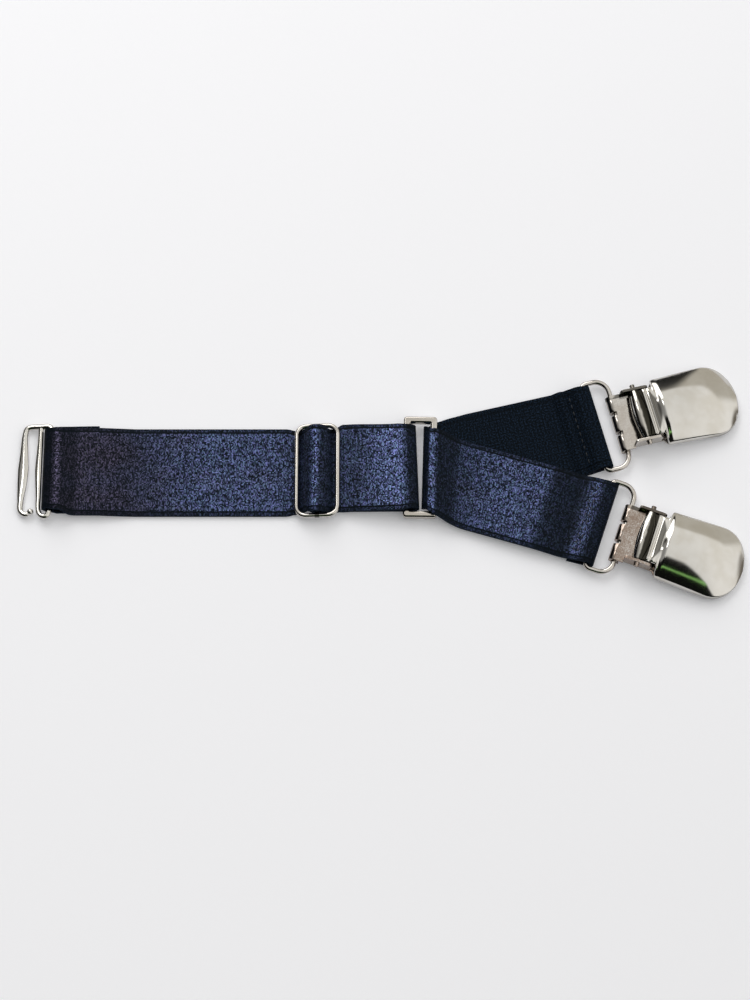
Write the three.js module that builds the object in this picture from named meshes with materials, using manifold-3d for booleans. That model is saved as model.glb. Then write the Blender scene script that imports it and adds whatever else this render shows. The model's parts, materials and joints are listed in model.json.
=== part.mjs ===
// A sock suspender lying flat: a wire hook, an adjustable elastic strap, a ring, and two elastic legs
// that each end in a loop and a lever clip. Millimetres, +Z up, +X from the hook towards the clips,
// the surface it lies on at z = 0.
import * as THREE from "three";
import { mergeVertices } from "three/addons/utils/BufferGeometryUtils.js";
import Module from "manifold-3d";

const wasm = await Module();
wasm.setup();

// Driving dimensions
const bandThick = 1.0;
const gap = 0.3;
const sliderY = 4.1;

const hookWire = 1.6;
const hookBarX = -89.05;
const hookBarZ = 2.05;
const hookTopY = 17.0;
const hookBottomY = -8.85;
const hookTilt = THREE.MathUtils.degToRad(8.4);

const sliderX = -16.6;
const sliderZ = 2.6;
const sliderWide = 12.5;
const sliderTall = 27.1;
const sliderWire = 1.35;
const sliderTilt = THREE.MathUtils.degToRad(5.9);

const ringX = 11.44;
const ringY = 5.0;
const ringWide = 9.2;
const ringTall = 29.1;
const ringBar = 1.85;
const ringHigh = 2.2;
const ringTurn = THREE.MathUtils.degToRad(-0.8);

const forkX = 14.5;
const forkY = 4.85;
const forkTurn = THREE.MathUtils.degToRad(-1.85);
const legSpread = THREE.MathUtils.degToRad(15.1);
const foldSlip = 0.42;
const lowerDrift = 0.83;
const foldRadius = 1.9;
const foldHalfWidth = 11.45;
const foldLean = THREE.MathUtils.degToRad(2.0);

const loopWire = 1.45;
const loopReach = 7.1;
const loopTall = 27.4;
const loopBarInset = 2.15;
const loopBarZ = 2.025;

const sheet = 0.7;
const tabRadius = loopWire / 2 + gap + sheet;
const clipSplay = THREE.MathUtils.degToRad(1.6);
const clipPitch = THREE.MathUtils.degToRad(5.25);
const plateWide = 18;
const plateEnd = 29.5;
const pinAlong = 5.5;
const pinHigh = 4.25;
const pinRadius = 0.7;
const rollRadius = 2.25;

const steel = (name) => {
  const finish = new THREE.MeshStandardMaterial({ color: 0xc8c3b9, roughness: 0.18, metalness: 1 });
  finish.name = name;
  return finish;
};
const elastic = (name) => {
  const finish = new THREE.MeshStandardMaterial({ color: 0x1b1e38, roughness: 0.75, metalness: 0 });
  finish.name = name;
  return finish;
};

const smooth = (t) => {
  const u = THREE.MathUtils.clamp(t, 0, 1);
  return u * u * (3 - 2 * u);
};

// Value at x of a table whose rows are [x, value], eased from row to row
const tableValue = (table, x) => {
  if (x <= table[0][0]) return table[0][1];
  for (let i = 1; i < table.length; i += 1) {
    const [x0, y0] = table[i - 1];
    const [x1, y1] = table[i];
    if (x <= x1) return y0 + (y1 - y0) * smooth((x - x0) / (x1 - x0));
  }
  return table[table.length - 1][1];
};

// Closed solid through a list of outlines, each a loop of the same number of points
function loft(outlines) {
  const count = outlines[0].length;
  const positions = outlines.flat().flatMap((p) => [p.x, p.y, p.z]);
  const faces = [];
  for (let i = 0; i + 1 < outlines.length; i += 1) {
    for (let j = 0; j < count; j += 1) {
      const a = i * count + j;
      const b = i * count + ((j + 1) % count);
      faces.push(a, b, a + count, b, b + count, a + count);
    }
  }
  const last = (outlines.length - 1) * count;
  for (let j = 1; j + 1 < count; j += 1) {
    faces.push(0, j + 1, j);
    faces.push(last, last + j, last + j + 1);
  }
  const geometry = new THREE.BufferGeometry();
  geometry.setAttribute("position", new THREE.Float32BufferAttribute(positions, 3));
  geometry.setIndex(faces);
  return geometry;
}

const toManifold = (geometry) => {
  const bare = geometry.clone();
  bare.deleteAttribute("normal");
  bare.deleteAttribute("uv");
  const merged = mergeVertices(bare, 1e-4);
  return new wasm.Manifold(new wasm.Mesh({
    numProp: 3,
    vertProperties: new Float32Array(merged.attributes.position.array),
    triVerts: new Uint32Array(merged.index.array),
  }));
};

const fromManifold = (solid) => {
  const mesh = solid.getMesh();
  const geometry = new THREE.BufferGeometry();
  geometry.setAttribute("position", new THREE.Float32BufferAttribute(mesh.vertProperties, 3));
  geometry.setIndex(Array.from(mesh.triVerts));
  return geometry;
};

const joined = (...geometries) => fromManifold(
  geometries.map(toManifold).reduce((whole, next) => whole.add(next)),
);

const cut = (geometry, ...tools) => fromManifold(
  tools.map(toManifold).reduce((whole, tool) => whole.subtract(tool), toManifold(geometry)),
);

// Path with rounded corners; rows are [along, height, bend radius, ...widths], where the widths
// are eased from row to row
function roundedPath(rows, arcStep = 0.45) {
  const points = rows.map(([x, z]) => new THREE.Vector2(x, z));
  const stop = (point, row) => ({ point, widths: row.slice(3) });
  const path = [stop(points[0], rows[0])];
  for (let i = 1; i + 1 < rows.length; i += 1) {
    const back = points[i - 1].clone().sub(points[i]).normalize();
    const ahead = points[i + 1].clone().sub(points[i]).normalize();
    const turn = Math.PI - Math.acos(THREE.MathUtils.clamp(back.dot(ahead), -1, 1));
    if (turn < 1e-3) {
      path.push(stop(points[i], rows[i]));
      continue;
    }
    const radius = rows[i][2];
    const start = points[i].clone().addScaledVector(back, radius * Math.tan(turn / 2));
    const middle = back.clone().add(ahead).normalize();
    const centre = points[i].clone().addScaledVector(middle, radius / Math.cos(turn / 2));
    const spoke = start.clone().sub(centre);
    const side = Math.sign(ahead.x * back.y - ahead.y * back.x);
    const steps = Math.max(2, Math.ceil(turn / arcStep));
    for (let k = 0; k <= steps; k += 1) {
      const swung = spoke.clone().rotateAround(new THREE.Vector2(), (side * turn * k) / steps);
      path.push(stop(swung.add(centre), rows[i]));
    }
  }
  path.push(stop(points[points.length - 1], rows[rows.length - 1]));
  return path;
}

// Woven band: each station has a centre, the level direction across it and half its width there
function band(stations) {
  const half = bandThick / 2;
  const edge = 0.3;
  const outlines = stations.map((station, i) => {
    const before = stations[Math.max(i - 1, 0)].centre;
    const after = stations[Math.min(i + 1, stations.length - 1)].centre;
    const tangent = after.clone().sub(before);
    const normal = tangent.cross(station.across).normalize();
    const corner = (side, up) => station.centre.clone()
      .addScaledVector(station.across, side)
      .addScaledVector(normal, up);
    const w = station.halfWidth;
    return [
      corner(-w, half * 0.35),
      corner(-w, -half * 0.35),
      corner(-w + edge, -half),
      corner(w - edge, -half),
      corner(w, -half * 0.35),
      corner(w, half * 0.35),
      corner(w - edge, half),
      corner(-w + edge, half),
    ];
  });
  return loft(outlines);
}

// The main strap seen from the side: [x, height of its middle, bend radius, half width, centre y]
const mainRoute = [
  [-76.3, 0.5, 0, 12.5, 5.0],
  [-88.0, 0.5, 1, 12.4, 4.95],
  [-90.6, 0.5, 1.55, 11.5, 4.5],
  [-90.6, 3.3, 1.4, 11.8, 4.1],
  [-86.9, 4.5, 2.2, 11.9, 4.1],
  [-82.7, 1.65, 3, 12.5, 4.1],
  [-76.5, 1.65, 1.5, 12.5, 4.1],
  [-66, 0.5, 6, 12.5, 4.1],
  [-50, 0.5, 1, 12.5, 4.1],
  [-25, 0.5, 1, 12.5, 4.1],
  [-21.2, 0.5, 1.3, 11.9, 4.1],
  [-20.5, 1.503, 0, 11.8, 4.1],
  [-18.9, 3.795, 0, 11.8, 4.1],
  [sliderX, 7.09, 2.575, 12.3, 4.1],
  [-14.3, 3.806, 0, 11.8, 4.1],
  [-13.25, 2.307, 0, 11.8, 4.1],
  [-12.79, 1.65, 1.3, 11.8, 4.3],
  [-9.0, 1.65, 8, 12.5, 5.0],
  [5.5, 4.3, 8, 12.3, 4.6],
  [10.3, 4.3, foldRadius, 12.0, 4.8],
  [10.3, 0.5, foldRadius, 12.0, 5.1],
  [5, 0.5, 1, 12.2, 5.3],
  [-9.0, 0.5, 1, 12.2, 5.2],
  [-13.4, 0.5, 2, 11.9, 4.5],
  [-15.6, 1.175, 2, 11.7, 4.1],
  [-18.025, 1.175, 1.4, 11.7, 4.1],
  [-18.025, 4.025, 1.425, 11.7, 4.1],
  [-15.858, 4.025, 1.425, 11.7, 4.1],
  [-15.09, 2.93, 0, 11.7, 4.1],
];

function mainStrap() {
  return band(roundedPath(mainRoute).map(({ point, widths: [halfWidth, y] }) => {
    const lean = foldLean * smooth(point.x / 8);
    return {
      centre: new THREE.Vector3(point.x, y, point.y),
      across: new THREE.Vector3(-Math.sin(lean), Math.cos(lean), 0),
      halfWidth,
    };
  }));
}

// The legs seen from the side: [distance from the ring, height of the middle, bend radius, half width]
const upperLegEnd = 47.8;
const lowerLegEnd = 49.3;
const endBend = 1.525;
const upperLegRoute = [
  [39.3, 0.5, 0, 12.4],
  [upperLegEnd - 0.5, 0.5, endBend, 11.95],
  [upperLegEnd - 0.5, 3.55, endBend, 11.95],
  [upperLegEnd - 4.1, 3.55, 2, 12.1],
  [40.7, 1.65, 1.5, 12.3],
  [39.4, 1.65, 1, 12.4],
  [37.2, 0.5, 1.5, 12.4],
  [24, 0.5, 1, 12.4],
  [18, 0.5, 1, 12.4],
  [12, 0.5, 1, 12.4],
  [6, 0.5, 1, 12.2],
  [0.6, 0.5, 0, 11.8],
];
const lowerLegRoute = [
  [0.6, 4.3, 0, 11.8],
  [2.2, 4.3, 2, 11.9],
  [6.2, 2.45, 4, 12.0],
  [11, 1.75, 8, 12.1],
  [24, 2.2, 1, 12.1],
  [33, 2.45, 14, 12.1],
  [39.8, 1.9, 5, 12.1],
  [43.2, 2.85, 5, 12.1],
  [46.2, 3.55, 3, 12.0],
  [lowerLegEnd - 0.5, 3.55, endBend, 11.95],
  [lowerLegEnd - 0.5, 0.5, endBend, 11.95],
  [41.9, 0.5, 0, 12.1],
];

// A leg's own frame: its line leaves the ring at this height across, and turns by its spread
function legFrame(side) {
  const wrapHalf = (Math.PI / 2) * foldRadius * Math.tan(legSpread);
  return {
    start: new THREE.Vector2(0, side * (wrapHalf + foldSlip)),
    along: new THREE.Vector2(Math.cos(legSpread), side * Math.sin(legSpread)),
    turn: side * legSpread,
    drift: side < 0 ? lowerDrift : 0,
  };
}

function legStations(side, route) {
  const frame = legFrame(side);
  return roundedPath(route).map(({ point, widths: [halfWidth] }) => {
    const lean = legSpread * (1 - smooth(point.x / 24)) - clipSplay * smooth((point.x - 33) / 6);
    const level = Math.PI / 2 + side * (legSpread - lean);
    const spot = frame.start.clone().addScaledVector(frame.along, point.x);
    spot.y -= frame.drift * smooth(point.x / 9);
    return {
      centre: new THREE.Vector3(spot.x, spot.y, point.y),
      across: new THREE.Vector3(Math.cos(level), Math.sin(level), 0),
      halfWidth: halfWidth / Math.cos(lean),
    };
  });
}

function ringFold() {
  const steps = 12;
  const mid = foldRadius + bandThick / 2;
  return Array.from({ length: steps + 1 }, (_, i) => {
    const angle = (Math.PI * i) / steps;
    const run = foldRadius * (angle - Math.PI / 2);
    const slip = foldSlip * Math.sign(run) * smooth((Math.abs(run) - 1.1) / 1.9);
    return {
      centre: new THREE.Vector3(
        -foldRadius * Math.sin(angle),
        -run * Math.tan(legSpread) - slip,
        mid - foldRadius * Math.cos(angle),
      ),
      across: new THREE.Vector3(0, 1, 0),
      halfWidth: foldHalfWidth / Math.cos(legSpread),
    };
  });
}

function legStrap() {
  return band([
    ...legStations(1, upperLegRoute),
    ...ringFold(),
    ...legStations(-1, lowerLegRoute),
  ]);
}

// Outline of a rounded rectangle about a centre, with its own corner radius left and right
function roundedOutline(Type, left, right, half, leftRadius, rightRadius) {
  const outline = new Type();
  outline.moveTo(left + leftRadius, -half);
  outline.lineTo(right - rightRadius, -half);
  outline.absarc(right - rightRadius, -half + rightRadius, rightRadius, -Math.PI / 2, 0);
  outline.lineTo(right, half - rightRadius);
  outline.absarc(right - rightRadius, half - rightRadius, rightRadius, 0, Math.PI / 2);
  outline.lineTo(left + leftRadius, half);
  outline.absarc(left + leftRadius, half - leftRadius, leftRadius, Math.PI / 2, Math.PI);
  outline.lineTo(left, -half + leftRadius);
  outline.absarc(left + leftRadius, -half + leftRadius, leftRadius, Math.PI, Math.PI * 1.5);
  return outline;
}

// A flat frame of bar stock, chamfered to an eight-sided section, centred on z = 0
function frameSolid(outline, holes, high, chamfer, curveSegments) {
  outline.holes.push(...holes);
  const geometry = new THREE.ExtrudeGeometry(outline, {
    depth: high - 2 * chamfer,
    bevelThickness: chamfer,
    bevelSize: chamfer,
    bevelOffset: -chamfer,
    bevelSegments: 1,
    curveSegments,
  });
  geometry.translate(0, 0, chamfer - high / 2);
  return geometry;
}

function sliderSolid() {
  const half = sliderWide / 2;
  const inner = half - sliderWire;
  const bar = sliderWire / 2;
  const tall = sliderTall / 2;
  const innerTall = tall - sliderWire;
  const outline = roundedOutline(THREE.Shape, -half, half, tall, 3.3, 3.3);
  const holes = [
    roundedOutline(THREE.Path, -inner, -bar, innerTall, 1.5, 0.4),
    roundedOutline(THREE.Path, bar, inner, innerTall, 0.4, 1.5),
  ];
  return frameSolid(outline, holes, sliderWire, sliderWire * 0.29, 4);
}

function ringSolid() {
  const half = ringWide / 2;
  const tall = ringTall / 2;
  const outline = roundedOutline(THREE.Shape, -half, half, tall, 0.9, 0.9);
  const hole = roundedOutline(THREE.Path, -half + ringBar, half - ringBar, tall - ringBar, 0.3, 0.3);
  return frameSolid(outline, [hole], ringHigh, 0.4, 3);
}

// The loop's right bar lies on the origin, its left bar runs inside the end of the strap
function loopSolid() {
  const bar = loopWire / 2;
  const tall = loopTall / 2;
  const outline = roundedOutline(THREE.Shape, -loopReach - bar, bar, tall, 2.2, 4.4);
  const hole = roundedOutline(
    THREE.Path, -loopReach + bar, -bar, tall - loopWire, 0.75, 2.95,
  );
  return frameSolid(outline, [hole], loopWire, loopWire * 0.29, 5);
}

// Wire of changing section along a flat route: [x, y, half width, half height], rounded by a curve
function flatWire(rows, turns = 60, sides = 8) {
  const curve = new THREE.CatmullRomCurve3(rows.map(([x, y]) => new THREE.Vector3(x, y, 0)),
    false, "centripetal");
  const up = new THREE.Vector3(0, 0, 1);
  const outlines = Array.from({ length: turns + 1 }, (_, i) => {
    const t = i / turns;
    const centre = curve.getPoint(t);
    const side = up.clone().cross(curve.getTangent(t)).normalize();
    const place = t * (rows.length - 1);
    const row = Math.min(Math.floor(place), rows.length - 2);
    const mix = place - row;
    const wide = THREE.MathUtils.lerp(rows[row][2], rows[row + 1][2], mix);
    const high = THREE.MathUtils.lerp(rows[row][3], rows[row + 1][3], mix);
    return Array.from({ length: sides }, (__, j) => {
      const angle = (2 * Math.PI * (j + 0.5)) / sides;
      return centre.clone()
        .addScaledVector(side, wide * Math.cos(angle))
        .addScaledVector(up, high * Math.sin(angle));
    });
  });
  return loft(outlines);
}

// The hook in its own plane, x measured from the bar inside the strap
const wireHalf = hookWire / 2;
const hookTongue = [
  [-5.2, -7.4, 0.55, 0.55],
  [-6.5, -8.15, 0.75, 0.75],
  [-7.95, -7.0, 0.85, 0.75],
  [-8.1, -4.0, 0.95, 0.65],
  [-7.85, 0.5, 1.35, 0.5],
  [-7.7, 5.0, 1.5, 0.5],
  [-7.65, 10.0, 1.15, 0.6],
  [-7.6, 14.6, 0.85, 0.75],
  [-7.1, 16.5, wireHalf, wireHalf],
  [-6.0, hookTopY, wireHalf, wireHalf],
  [-3.0, hookTopY, wireHalf, wireHalf],
  [-0.9, hookTopY - 0.05, wireHalf, wireHalf],
  [0, 16.0, wireHalf, wireHalf],
  [0, 13.0, wireHalf, wireHalf],
  [0, 4.0, wireHalf, wireHalf],
  [0, -5.0, wireHalf, wireHalf],
];
const hookEye = [
  [0, -4.5, wireHalf, wireHalf],
  [0, -7.4, wireHalf, wireHalf],
  [-0.9, hookBottomY, wireHalf, wireHalf],
  [-2.3, -8.5, 0.75, 0.75],
  [-3.05, -6.8, 0.7, 0.7],
  [-3.15, -3.0, 0.75, 0.6],
  [-3.4, 4.5, 1.0, 0.5],
  [-3.2, 11.5, 0.8, 0.6],
  [-3.1, 16.9, 0.72, 0.7],
];

function hookSolid() {
  const ball = new THREE.SphereGeometry(0.95, 10, 8);
  ball.translate(hookTongue[0][0], hookTongue[0][1], 0);
  return joined(flatWire(hookTongue, 66), flatWire(hookEye, 44), ball);
}

// Clip solids: x along the clip from the loop's right bar, y across, z square to the plate
function slab(points, width, centreY = 0, holes = []) {
  const shape = new THREE.Shape(points.map(([x, z]) => new THREE.Vector2(x, z)));
  shape.holes.push(...holes);
  const geometry = new THREE.ExtrudeGeometry(shape, {
    depth: width, bevelEnabled: false, curveSegments: 8,
  });
  geometry.rotateX(Math.PI / 2);
  geometry.translate(0, centreY + width / 2, 0);
  return geometry;
}

const arcPoints = (cx, cz, radius, from, to, steps) => Array.from({ length: steps + 1 }, (_, i) => {
  const angle = THREE.MathUtils.degToRad(from + ((to - from) * i) / steps);
  return [cx + radius * Math.cos(angle), cz + radius * Math.sin(angle)];
});

const tabWidth = 4.6;
const tabPitch = 5.8;
const plateTop = tabRadius;
const tabInner = tabRadius - sheet;
const rollHalf = 6.8;
const earOut = rollHalf + gap + sheet;

function clipTab(centreY) {
  return slab([
    [2.2, plateTop],
    ...arcPoints(0, 0, tabRadius, 90, 318, 12),
    ...arcPoints(0, 0, tabInner, 318, 90, 12),
    [2.2, tabInner],
  ], tabWidth, centreY);
}

function clipPlate() {
  const half = plateWide / 2;
  const rear = tabPitch + tabWidth / 2;
  const round = 7.5;
  const side = [
    [0, rear - 0.5],
    [0.5, rear],
    [1.5, rear],
    [1.9, earOut],
    [10.2, earOut],
    [11.2, half],
    [plateEnd - round, half],
  ];
  const outline = new THREE.Shape(side.map(([x, y]) => new THREE.Vector2(x, -y)));
  outline.absellipse(plateEnd - round, 0, round, half, -Math.PI / 2, Math.PI / 2);
  side.reverse().slice(1).forEach(([x, y]) => outline.lineTo(x, y));
  const geometry = new THREE.ExtrudeGeometry(outline, {
    depth: sheet, bevelEnabled: false, curveSegments: 16,
  });
  geometry.translate(0, 0, plateTop - sheet);
  return geometry;
}

function clipEar(side) {
  const hole = new THREE.Path();
  hole.absarc(pinAlong, pinHigh, pinRadius + 0.15, 0, 2 * Math.PI);
  const high = pinHigh + 1.05;
  const points = [
    [1.9, plateTop - sheet / 2],
    [9.5, plateTop - sheet / 2],
    [9.5, high - 0.7],
    [8.9, high - 0.1],
    [8.0, high],
    [2.6, high],
    [2.1, high - 0.2],
    [1.9, high - 0.7],
  ];
  return slab(points, sheet, side * (earOut - sheet / 2), [hole]);
}

function clipBase() {
  return joined(
    clipPlate(),
    clipTab(-tabPitch),
    clipTab(0),
    clipTab(tabPitch),
    clipEar(-1),
    clipEar(1),
  );
}

function hingePin() {
  const pin = new THREE.CylinderGeometry(pinRadius, pinRadius, 2 * earOut + 2.2, 12);
  pin.translate(pinAlong, 0, pinHigh);
  return pin;
}

// Lever: a barrel on the pin, a neck between the ears, and a domed cover
const rollHole = pinRadius + gap;
const neckStart = 7.2;
const neckEnd = 10.6;
const coverStart = 11.1;
const coverWiden = 25.2;
const coverTip = 33.4;
const rimHigh = 2.35;

function leverRoll() {
  const bulge = 0.9;
  const steps = 8;
  const profile = [new THREE.Vector2(rollHole, -rollHalf)];
  for (let i = 0; i <= steps; i += 1) {
    const y = -rollHalf + (2 * rollHalf * i) / steps;
    profile.push(new THREE.Vector2(rollRadius - bulge * (y / rollHalf) ** 2, y));
  }
  profile.push(new THREE.Vector2(rollHole, rollHalf));
  profile.push(profile[0].clone());
  const geometry = new THREE.LatheGeometry(profile, 16);
  geometry.translate(pinAlong, 0, pinHigh);
  return geometry;
}

// The cover along the clip: half width, height of its crown, and of its edge over the rim
const coverSides = [[neckEnd, rollHalf], [coverStart, 9.75], [coverWiden, 10.3]];
const coverCrown = [
  [neckStart, 5.7], [9.0, 6.05], [11.8, 7.1], [20, 7.1], [25, 6.45], [29.5, 5.15], [coverTip, 3.2],
];
const coverEdge = [[neckEnd, 5.5], [coverStart, rimHigh + 0.3]];

function coverHalf(x) {
  const t = (x - coverWiden) / (coverTip - coverWiden);
  return t <= 0 ? tableValue(coverSides, x) : 10.3 * Math.max(1 - t ** 2.15, 0) ** (1 / 2.15);
}

function coverShell(inset) {
  const neck = [neckStart, 8.3, 9.4, neckEnd];
  const dome = [coverStart, 11.8, 13, 15, 18, 21, 24.8, 27.4, 29.6, 31.4, 32.6, 33.2];
  const columns = 12;
  const middle = (coverStart + coverTip) / 2;
  const outlines = (inset ? dome : [...neck, ...dome]).map((x) => {
    const along = x + (inset ? (middle - x) * 0.055 : 0);
    const half = Math.max(coverHalf(x) - inset, 0.35);
    const edge = tableValue(coverEdge, x);
    const crown = tableValue(coverCrown, x) - inset;
    const low = inset ? rimHigh - 1 : edge - (x > neckEnd ? 0.3 : sheet);
    const arch = Array.from({ length: columns + 1 }, (_, j) => {
      const t = Math.cos((Math.PI * j) / columns);
      const rise = (1 - Math.abs(t) ** 2.3) ** 0.75;
      return new THREE.Vector3(along, t * half, edge + (crown - edge) * rise);
    });
    return [...arch, new THREE.Vector3(along, -half, low), new THREE.Vector3(along, half, low)];
  });
  return loft(outlines);
}

// Web that joins the barrel to the underside of the neck
function leverWeb() {
  return slab([
    [pinAlong + 0.7, pinHigh - 0.7],
    [pinAlong + 2.1, pinHigh - 0.5],
    [8.4, 4.9],
    [8.4, 5.3],
    [pinAlong + 1.7, 5.35],
    [pinAlong + 0.7, 5.25],
  ], 2 * rollHalf - 0.4);
}

function clipLever() {
  const shell = cut(coverShell(0), coverShell(sheet));
  const bore = new THREE.CylinderGeometry(rollHole, rollHole, 3 * rollHalf, 16);
  bore.translate(pinAlong, 0, pinHigh);
  return cut(joined(shell, leverWeb(), leverRoll()), bore);
}

const model = new THREE.Group();
const suspender = new THREE.Group();
suspender.add(model);

function addPiece(group, name, geometry, material) {
  const bare = geometry.clone();
  bare.deleteAttribute("normal");
  bare.deleteAttribute("uv");
  const whole = mergeVertices(bare, 1e-4);
  whole.computeVertexNormals();
  const piece = new THREE.Mesh(whole, material);
  piece.name = name;
  group.add(piece);
  return piece;
}

addPiece(model, "main_strap", mainStrap(), elastic("navy_elastic"));

const hook = addPiece(model, "wire_hook", hookSolid(), steel("nickel"));
hook.position.set(hookBarX, 0, hookBarZ);
hook.rotation.y = -hookTilt;

const slider = addPiece(model, "slider", sliderSolid(), steel("nickel"));
slider.position.set(sliderX, sliderY, sliderZ);
slider.rotation.y = -sliderTilt;

const ring = addPiece(model, "junction_ring", ringSolid(), steel("nickel"));
ring.position.set(ringX, ringY, bandThick + gap + ringHigh / 2);
ring.rotation.z = ringTurn;

const fork = new THREE.Group();
fork.position.set(forkX, forkY, 0);
fork.rotation.z = forkTurn;
model.add(fork);
addPiece(fork, "leg_strap", legStrap(), elastic("navy_elastic"));

function addClip(name, side, legEnd, clipSlide) {
  const frame = legFrame(side);
  const turn = frame.turn + side * clipSplay;
  const bar = frame.start.clone().addScaledVector(frame.along, legEnd - loopBarInset);
  bar.y -= frame.drift;
  const swing = Math.asin((loopBarZ - tabRadius) / loopReach);
  const reach = loopReach * Math.cos(swing);
  const hinge = new THREE.Group();
  hinge.position.set(bar.x + reach * Math.cos(turn), bar.y + reach * Math.sin(turn), tabRadius);
  hinge.rotation.z = turn;
  fork.add(hinge);
  const loop = addPiece(hinge, `${name}_loop`, loopSolid(), steel("nickel"));
  loop.rotation.y = swing;
  const clip = new THREE.Group();
  clip.position.y = clipSlide;
  clip.rotation.y = clipPitch;
  hinge.add(clip);
  addPiece(clip, `${name}_clip_base`, clipBase(), steel("nickel"));
  addPiece(clip, `${name}_hinge_pin`, hingePin(), steel("nickel"));
  addPiece(clip, `${name}_clip_lever`, clipLever(), steel("nickel"));
}
addClip("upper", 1, upperLegEnd, -0.7);
addClip("lower", -1, lowerLegEnd, -0.7);

// The origin is under the middle of the whole, on the surface that it lies on
const reach = new THREE.Box3().setFromObject(model, true);
const middle = reach.getCenter(new THREE.Vector3());
model.position.set(-middle.x, -middle.y, -reach.min.z);

export default suspender;
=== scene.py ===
"""A sock suspender of navy elastic with nickel fittings, dressed over its CAD frame."""

import json
import math

import bpy
from bpy.props import FloatProperty, FloatVectorProperty, IntProperty, PointerProperty
from mathutils import Matrix, Vector


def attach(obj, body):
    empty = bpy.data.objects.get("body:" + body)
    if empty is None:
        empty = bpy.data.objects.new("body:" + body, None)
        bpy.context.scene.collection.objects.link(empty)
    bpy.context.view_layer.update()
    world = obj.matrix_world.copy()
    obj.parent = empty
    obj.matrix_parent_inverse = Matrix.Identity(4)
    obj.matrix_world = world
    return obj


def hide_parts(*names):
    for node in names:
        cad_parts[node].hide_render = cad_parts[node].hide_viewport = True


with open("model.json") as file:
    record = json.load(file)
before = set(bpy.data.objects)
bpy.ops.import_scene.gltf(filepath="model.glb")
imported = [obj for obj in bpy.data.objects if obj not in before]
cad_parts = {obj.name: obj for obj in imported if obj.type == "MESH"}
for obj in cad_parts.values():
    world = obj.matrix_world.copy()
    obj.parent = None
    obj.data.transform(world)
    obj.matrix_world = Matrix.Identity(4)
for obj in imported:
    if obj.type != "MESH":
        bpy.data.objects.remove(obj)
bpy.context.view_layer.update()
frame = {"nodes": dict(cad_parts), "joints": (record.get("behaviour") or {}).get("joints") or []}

bl_info = {
    "name": "Sock suspender",
    "version": (1, 0, 0),
    "blender": (4, 5, 0),
    "location": "View3D > Sidebar > Suspender",
    "description": "Straps, wire fittings and lever clips of a sock suspender, with its studio",
    "category": "Add Mesh",
}

MM = 0.001
JOINTS = {joint["name"]: joint for joint in frame["joints"]}
SIDES = ("upper", "lower")
UP = Vector((0, 0, 1))

# Width of the elastic in mm, and the angle that its weave runs through in each mm along and across
BAND_WIDTH = 25.0
CORD_TURNS = 2 * math.pi / 1.05
ROW_TURNS = 2 * math.pi / 0.9

# The hook's bar in the sizes below; its joint says where that is in the frame
HOOK_BAR = Vector((-89.05, 0, 2.05)) * MM
SHIFT = Vector(JOINTS["hook_swing"]["pos_m"]) - HOOK_BAR

# The main strap from the side, in mm: x, height of its middle, bend radius, half width, middle y
MAIN_ROUTE = [
    (-76.3, 0.5, 0, 12.5, 5.0),
    (-87.2, 0.5, 0, 12.4, 4.95),
    (-88.3, 0.5, 0, 11.6, 4.45),
    (-90.6, 0.5, 1.55, 11.3, 4.4),
    (-90.6, 3.3, 1.4, 11.35, 4.4),
    (-86.9, 4.5, 2.2, 11.7, 4.2),
    (-82.7, 1.65, 3, 12.5, 4.1),
    (-76.5, 1.65, 1.5, 12.5, 4.1),
    (-66, 0.5, 6, 12.5, 4.1),
    (-50, 0.5, 1, 12.5, 4.1),
    (-25, 0.5, 1, 12.5, 4.1),
    (-21.2, 0.5, 1.3, 11.9, 4.1),
    (-20.5, 1.503, 0, 11.8, 4.1),
    (-18.9, 3.795, 0, 11.8, 4.1),
    (-16.6, 7.09, 2.575, 12.3, 4.1),
    (-14.3, 3.806, 0, 11.8, 4.1),
    (-13.25, 2.307, 0, 11.8, 4.1),
    (-12.79, 1.65, 1.3, 11.8, 4.3),
    (-9.0, 1.65, 8, 12.5, 5.0),
    (5.5, 4.3, 8, 12.3, 4.6),
    (10.3, 4.3, 1.9, 12.0, 4.8),
    (10.3, 0.5, 1.9, 12.0, 5.1),
    (5, 0.5, 1, 12.2, 5.3),
    (-9.0, 0.5, 1, 12.2, 5.2),
    (-13.4, 0.5, 2, 11.9, 4.5),
    (-15.6, 1.175, 2, 11.7, 4.1),
    (-18.025, 1.175, 1.4, 11.7, 4.1),
    (-18.025, 4.025, 1.425, 11.7, 4.1),
    (-15.858, 4.025, 1.425, 11.7, 4.1),
    (-15.09, 2.93, 0, 11.7, 4.1),
]

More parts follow.
